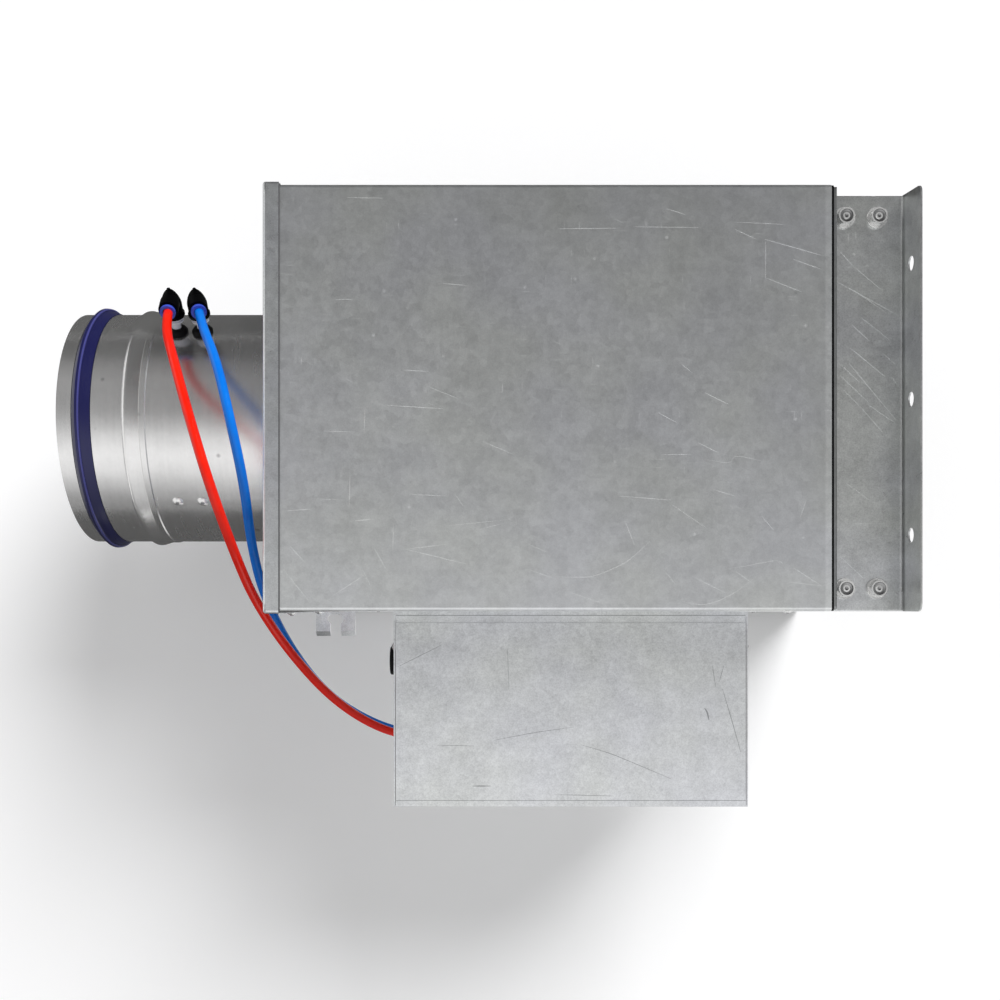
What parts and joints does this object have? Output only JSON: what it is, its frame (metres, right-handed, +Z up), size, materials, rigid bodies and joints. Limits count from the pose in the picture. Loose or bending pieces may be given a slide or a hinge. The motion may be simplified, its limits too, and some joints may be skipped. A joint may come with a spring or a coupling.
{
  "type": "vav terminal box",
  "caption": "Galvanised air volume terminal box: round sealed inlet spigot with a cross flow sensor, a motor-driven damper, an insulated casing and a flanged rectangular outlet neck.",
  "frame": {"origin": "centre of the inlet spigot's mouth, on the duct's axis", "axes": "+X along the airflow from the spigot to the outlet, +Z up, +Y to the left of the airflow; the control box is at -Y"},
  "size_m": [0.533, 0.4051, 0.2911],
  "materials": {
    "casing_sheet": "hot-dip galvanised sheet, satin, scratched",
    "neck_sheet": "hot-dip galvanised sheet, satin, scratched",
    "box_sheet": "hot-dip galvanised sheet with fine spangle",
    "spigot_steel": "galvanised, drawn, satin",
    "zinc_hardware": "bright zinc plate",
    "seal_rubber": "indigo EPDM, satin",
    "black_rubber": "matt",
    "mineral_wool": "faced mineral wool board",
    "aluminium_extrusion": "mill finish",
    "white_plastic": "satin",
    "black_plastic": "gloss",
    "blue_plastic": "gloss",
    "red_tube_plastic": "polyurethane, gloss",
    "blue_tube_plastic": "polyurethane, gloss",
    "blade_sheet": "galvanised, satin",
    "steel_bar": "bright zinc-plated bar",
    "bearing_plastic": "matt",
    "controller_plastic": "matt light grey",
    "lid_plastic": "matt off-white",
    "circuit_board": "solder mask",
    "terminal_plastic": "gloss",
    "gear_plastic": "satin",
    "motor_can": "satin",
    "brass_pinion": "satin",
    "indicator_plastic": "gloss"
  },
  "bodies": {
    "casing": {"inlet_spigot": "spigot_steel", "spigot_lip_seal": "seal_rubber", "inlet_end_panel": "casing_sheet", "casing_wrap": "casing_sheet", "casing_bottom_tray": "casing_sheet", "outlet_end_strip_top": "casing_sheet", "outlet_end_strip_bottom": "casing_sheet", "outlet_neck_top": "neck_sheet", "outlet_neck_bottom": "neck_sheet", "outlet_neck_side_left": "neck_sheet", "outlet_neck_side_right": "neck_sheet", "neck_bolts": "zinc_hardware", "sheet_rivets": "zinc_hardware", "insulation_top": "mineral_wool", "insulation_bottom": "mineral_wool", "insulation_side_left": "mineral_wool", "insulation_side_right": "mineral_wool", "insulation_inlet_end": "mineral_wool", "hanger_bracket_1": "neck_sheet", "hanger_bracket_2": "neck_sheet", "hanger_bracket_3": "neck_sheet", "hanger_bracket_4": "neck_sheet", "flow_cross_upstream": "aluminium_extrusion", "flow_cross_downstream": "aluminium_extrusion", "sensor_rivets": "zinc_hardware", "tap_grommets": "black_rubber", "tap_stems": "white_plastic", "tap_seal_rings": "white_plastic", "elbow_fitting_high": "black_plastic", "elbow_fitting_low": "black_plastic", "red_tube": "red_tube_plastic", "blue_tube": "blue_tube_plastic", "duct_bearings": "bearing_plastic", "wall_bush": "bearing_plastic", "control_box_body": "box_sheet", "cable_grommet": "black_rubber", "tube_grommets": "black_rubber", "anti_rotation_bracket": "box_sheet", "controller_base": "controller_plastic", "controller_lid": "lid_plastic", "controller_board": "circuit_board", "terminal_block": "terminal_plastic", "pressure_nipples": "black_plastic", "drive_motor": "motor_can"},
    "damper": {"damper_shaft": "steel_bar", "damper_blade_front": "blade_sheet", "damper_blade_rear": "blade_sheet", "damper_blade_seal": "black_rubber", "blade_rivets": "zinc_hardware", "output_gear": "gear_plastic", "shaft_clamp": "zinc_hardware", "clamp_u_bolt": "zinc_hardware", "position_indicator": "indicator_plastic"},
    "drive_idler": {"intermediate_gear": "gear_plastic"},
    "drive_pinion": {"motor_pinion": "brass_pinion"},
    "box_cover": {"control_box_cover": "box_sheet", "cover_screws": "zinc_hardware"},
    "button": {"release_button": "blue_plastic"},
    "release_collar_high": {"collet_high": "blue_plastic"},
    "release_collar_low": {"collet_low": "blue_plastic"}
  },
  "joints": [
    {"name": "damper_turn", "type": "hinge", "parent": "casing", "child": "damper", "pos_m": [0.298, 0, 0], "axis": [0, 1, 0], "range_deg": [0, 90]},
    {"name": "drive_idler_turn", "type": "hinge", "parent": "casing", "child": "drive_idler", "pos_m": [0.328, -0.18, 0], "axis": [0, 1, 0], "range_deg": [-362, 2]},
    {"name": "drive_pinion_turn", "type": "hinge", "parent": "casing", "child": "drive_pinion", "pos_m": [0.352, -0.176, 0], "axis": [0, 1, 0], "range_deg": [-5, 1085]},
    {"name": "box_cover_pull", "type": "slide", "parent": "casing", "child": "box_cover", "axis": [0, -1, 0], "range_m": [0, 0.14]},
    {"name": "button_press", "type": "slide", "parent": "casing", "child": "button", "axis": [0, 1, 0], "range_m": [0, 0.0025], "stiffness_N_per_m": 400, "springref_m": -0.0025},
    {"name": "collar_high_press", "type": "slide", "parent": "casing", "child": "release_collar_high", "axis": [-0.0698, 0.7054, -0.7054], "range_m": [0, 0.001], "stiffness_N_per_m": 800, "springref_m": -0.001},
    {"name": "collar_low_press", "type": "slide", "parent": "casing", "child": "release_collar_low", "axis": [-0.2756, 0.6797, -0.6797], "range_m": [0, 0.001], "stiffness_N_per_m": 800, "springref_m": -0.001}
  ],
  "couplings": [
    {"joint": "drive_idler_turn", "follows": "damper_turn", "ratio": -4},
    {"joint": "drive_pinion_turn", "follows": "damper_turn", "ratio": 12}
  ]
}
